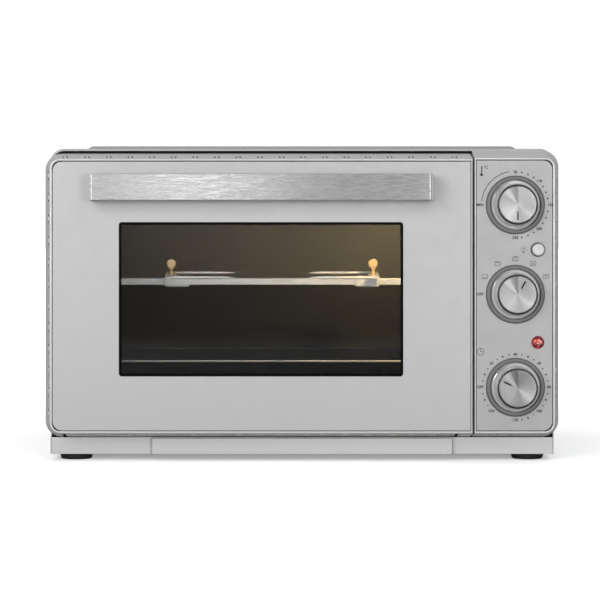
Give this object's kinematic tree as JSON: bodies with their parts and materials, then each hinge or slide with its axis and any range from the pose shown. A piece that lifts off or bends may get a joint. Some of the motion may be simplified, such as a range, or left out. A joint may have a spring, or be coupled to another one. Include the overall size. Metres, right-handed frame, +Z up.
{
  "type": "rotisserie oven",
  "caption": "Countertop oven with a drop-down window door, strap handle, motor-driven spit with sliding forks, rotary dials and removable trays.",
  "frame": {"origin": "middle of the footprint, on the plane that the feet stand on", "axes": "+Z up, the front faces -Y, +X to the right seen from the front"},
  "size_m": [0.53, 0.43, 0.3254],
  "materials": {
    "silver_cabinet": "satin silver paint",
    "silver_trim": "satin silver paint with a bright lip",
    "silver_face": "fine satin silver",
    "fascia": "fine satin silver, a little warmer, with printed scales",
    "brushed_strap": "brushed along its length",
    "chrome_skirt": "polished",
    "spun_cap": "spun, with radial sheen",
    "dark_ring": "satin metallic grey",
    "window": "tinted, with a printed black edge",
    "clear_glass": "clear",
    "liner_grey": "dark grey non-stick coating",
    "tray_enamel": "dark enamel",
    "galvanised": "galvanised sheet",
    "bare_steel": "bare, lightly polished",
    "heater_sheath": "heat-darkened sheath",
    "ceramic": "unglazed white ceramic",
    "switch_plastic": "moulded switch housings",
    "black_plastic": "black moulded plastic",
    "rubber": "black rubber",
    "silicone": "dark grey silicone",
    "white_button": "white, semi-gloss",
    "red_lens": "clear red, faceted",
    "tray_steel": "satin silver paint"
  },
  "bodies": {
    "root": {"cabinet_shell": "silver_cabinet", "back_panel": "galvanised", "bottom_plate": "galvanised", "plinth": "silver_cabinet", "front_frame": "galvanised", "cavity_left_wall": "liner_grey", "cavity_right_wall": "liner_grey", "cavity_wrap": "liner_grey", "cavity_floor": "liner_grey", "tray_runners": "liner_grey", "control_frame": "silver_trim", "control_fascia": "fascia", "control_bezels": "dark_ring", "indicator_lens": "red_lens", "thermostat": "switch_plastic", "function_switch": "switch_plastic", "timer": "switch_plastic", "light_switch": "switch_plastic", "heaters": "heater_sheath", "heater_seats": "ceramic", "spit_motor": "galvanised", "spit_rest": "bare_steel", "fan_motor": "galvanised", "fan_housing": "galvanised", "lamp_glass": "clear_glass", "lamp_holder": "ceramic", "hinge_brackets": "galvanised", "feet": "rubber", "rear_spacers": "black_plastic", "cord_gland": "black_plastic", "cabinet_screws": "bare_steel"},
    "door": {"door_frame": "silver_trim", "door_face": "silver_face", "window_glass": "window", "door_inner_panel": "galvanised", "inner_glass": "clear_glass", "door_seal": "silicone", "handle_bar": "brushed_strap", "door_screws": "bare_steel", "stay_arms": "galvanised", "hinge_ears": "galvanised"},
    "temperature_dial": {"temperature_knob": "chrome_skirt", "temperature_cap": "spun_cap", "temperature_shaft": "bare_steel"},
    "function_dial": {"function_knob": "chrome_skirt", "function_cap": "spun_cap", "function_shaft": "bare_steel"},
    "timer_dial": {"timer_knob": "chrome_skirt", "timer_cap": "spun_cap", "timer_shaft": "bare_steel"},
    "light_button": {"light_button": "white_button"},
    "spit": {"spit_rod": "bare_steel", "drive_socket": "bare_steel"},
    "left_fork": {"left_fork": "bare_steel", "left_fork_screw": "bare_steel"},
    "right_fork": {"right_fork": "bare_steel", "right_fork_screw": "bare_steel"},
    "fan": {"fan_wheel": "bare_steel"},
    "crumb_tray": {"crumb_tray": "tray_steel"},
    "baking_tray": {"baking_tray": "tray_enamel"}
  },
  "joints": [
    {"name": "door_hinge", "type": "hinge", "parent": "root", "child": "door", "pos_m": [0, -0.176, 0.042], "axis": [1, 0, 0], "range_deg": [0, 90]},
    {"name": "temperature_turn", "type": "hinge", "parent": "root", "child": "temperature_dial", "pos_m": [0.2169, -0.185, 0.2633], "axis": [0, -1, 0], "range_deg": [0, 270]},
    {"name": "function_turn", "type": "hinge", "parent": "root", "child": "function_dial", "pos_m": [0.2169, -0.185, 0.17235], "axis": [0, -1, 0], "range_deg": [-30, 120]},
    {"name": "timer_turn", "type": "hinge", "parent": "root", "child": "timer_dial", "pos_m": [0.2169, -0.185, 0.0776], "axis": [0, -1, 0], "range_deg": [-244, 71]},
    {"name": "light_press", "type": "slide", "parent": "root", "child": "light_button", "axis": [0, 1, 0], "range_m": [0, 0.003], "stiffness_N_per_m": 300, "springref_m": -0.002},
    {"name": "spit_spin", "type": "hinge", "parent": "root", "child": "spit", "pos_m": [0, 0.025, 0.182], "axis": [1, 0, 0], "continuous": true},
    {"name": "left_fork_slide", "type": "slide", "parent": "spit", "child": "left_fork", "axis": [1, 0, 0], "range_m": [-0.05, 0.035]},
    {"name": "right_fork_slide", "type": "slide", "parent": "spit", "child": "right_fork", "axis": [1, 0, 0], "range_m": [-0.035, 0.04]},
    {"name": "fan_spin", "type": "hinge", "parent": "root", "child": "fan", "pos_m": [0.17, 0.121, 0.205], "axis": [1, 0, 0], "continuous": true},
    {"name": "crumb_tray_slide", "type": "slide", "parent": "root", "child": "crumb_tray", "axis": [0, -1, 0], "range_m": [0, 0.22]},
    {"name": "baking_tray_slide", "type": "slide", "parent": "root", "child": "baking_tray", "axis": [0, -1, 0], "range_m": [0, 0.08]}
  ],
  "couplings": [
    {"joint": "baking_tray_slide", "follows": "door_hinge", "m_per_rad": 0.05}
  ]
}
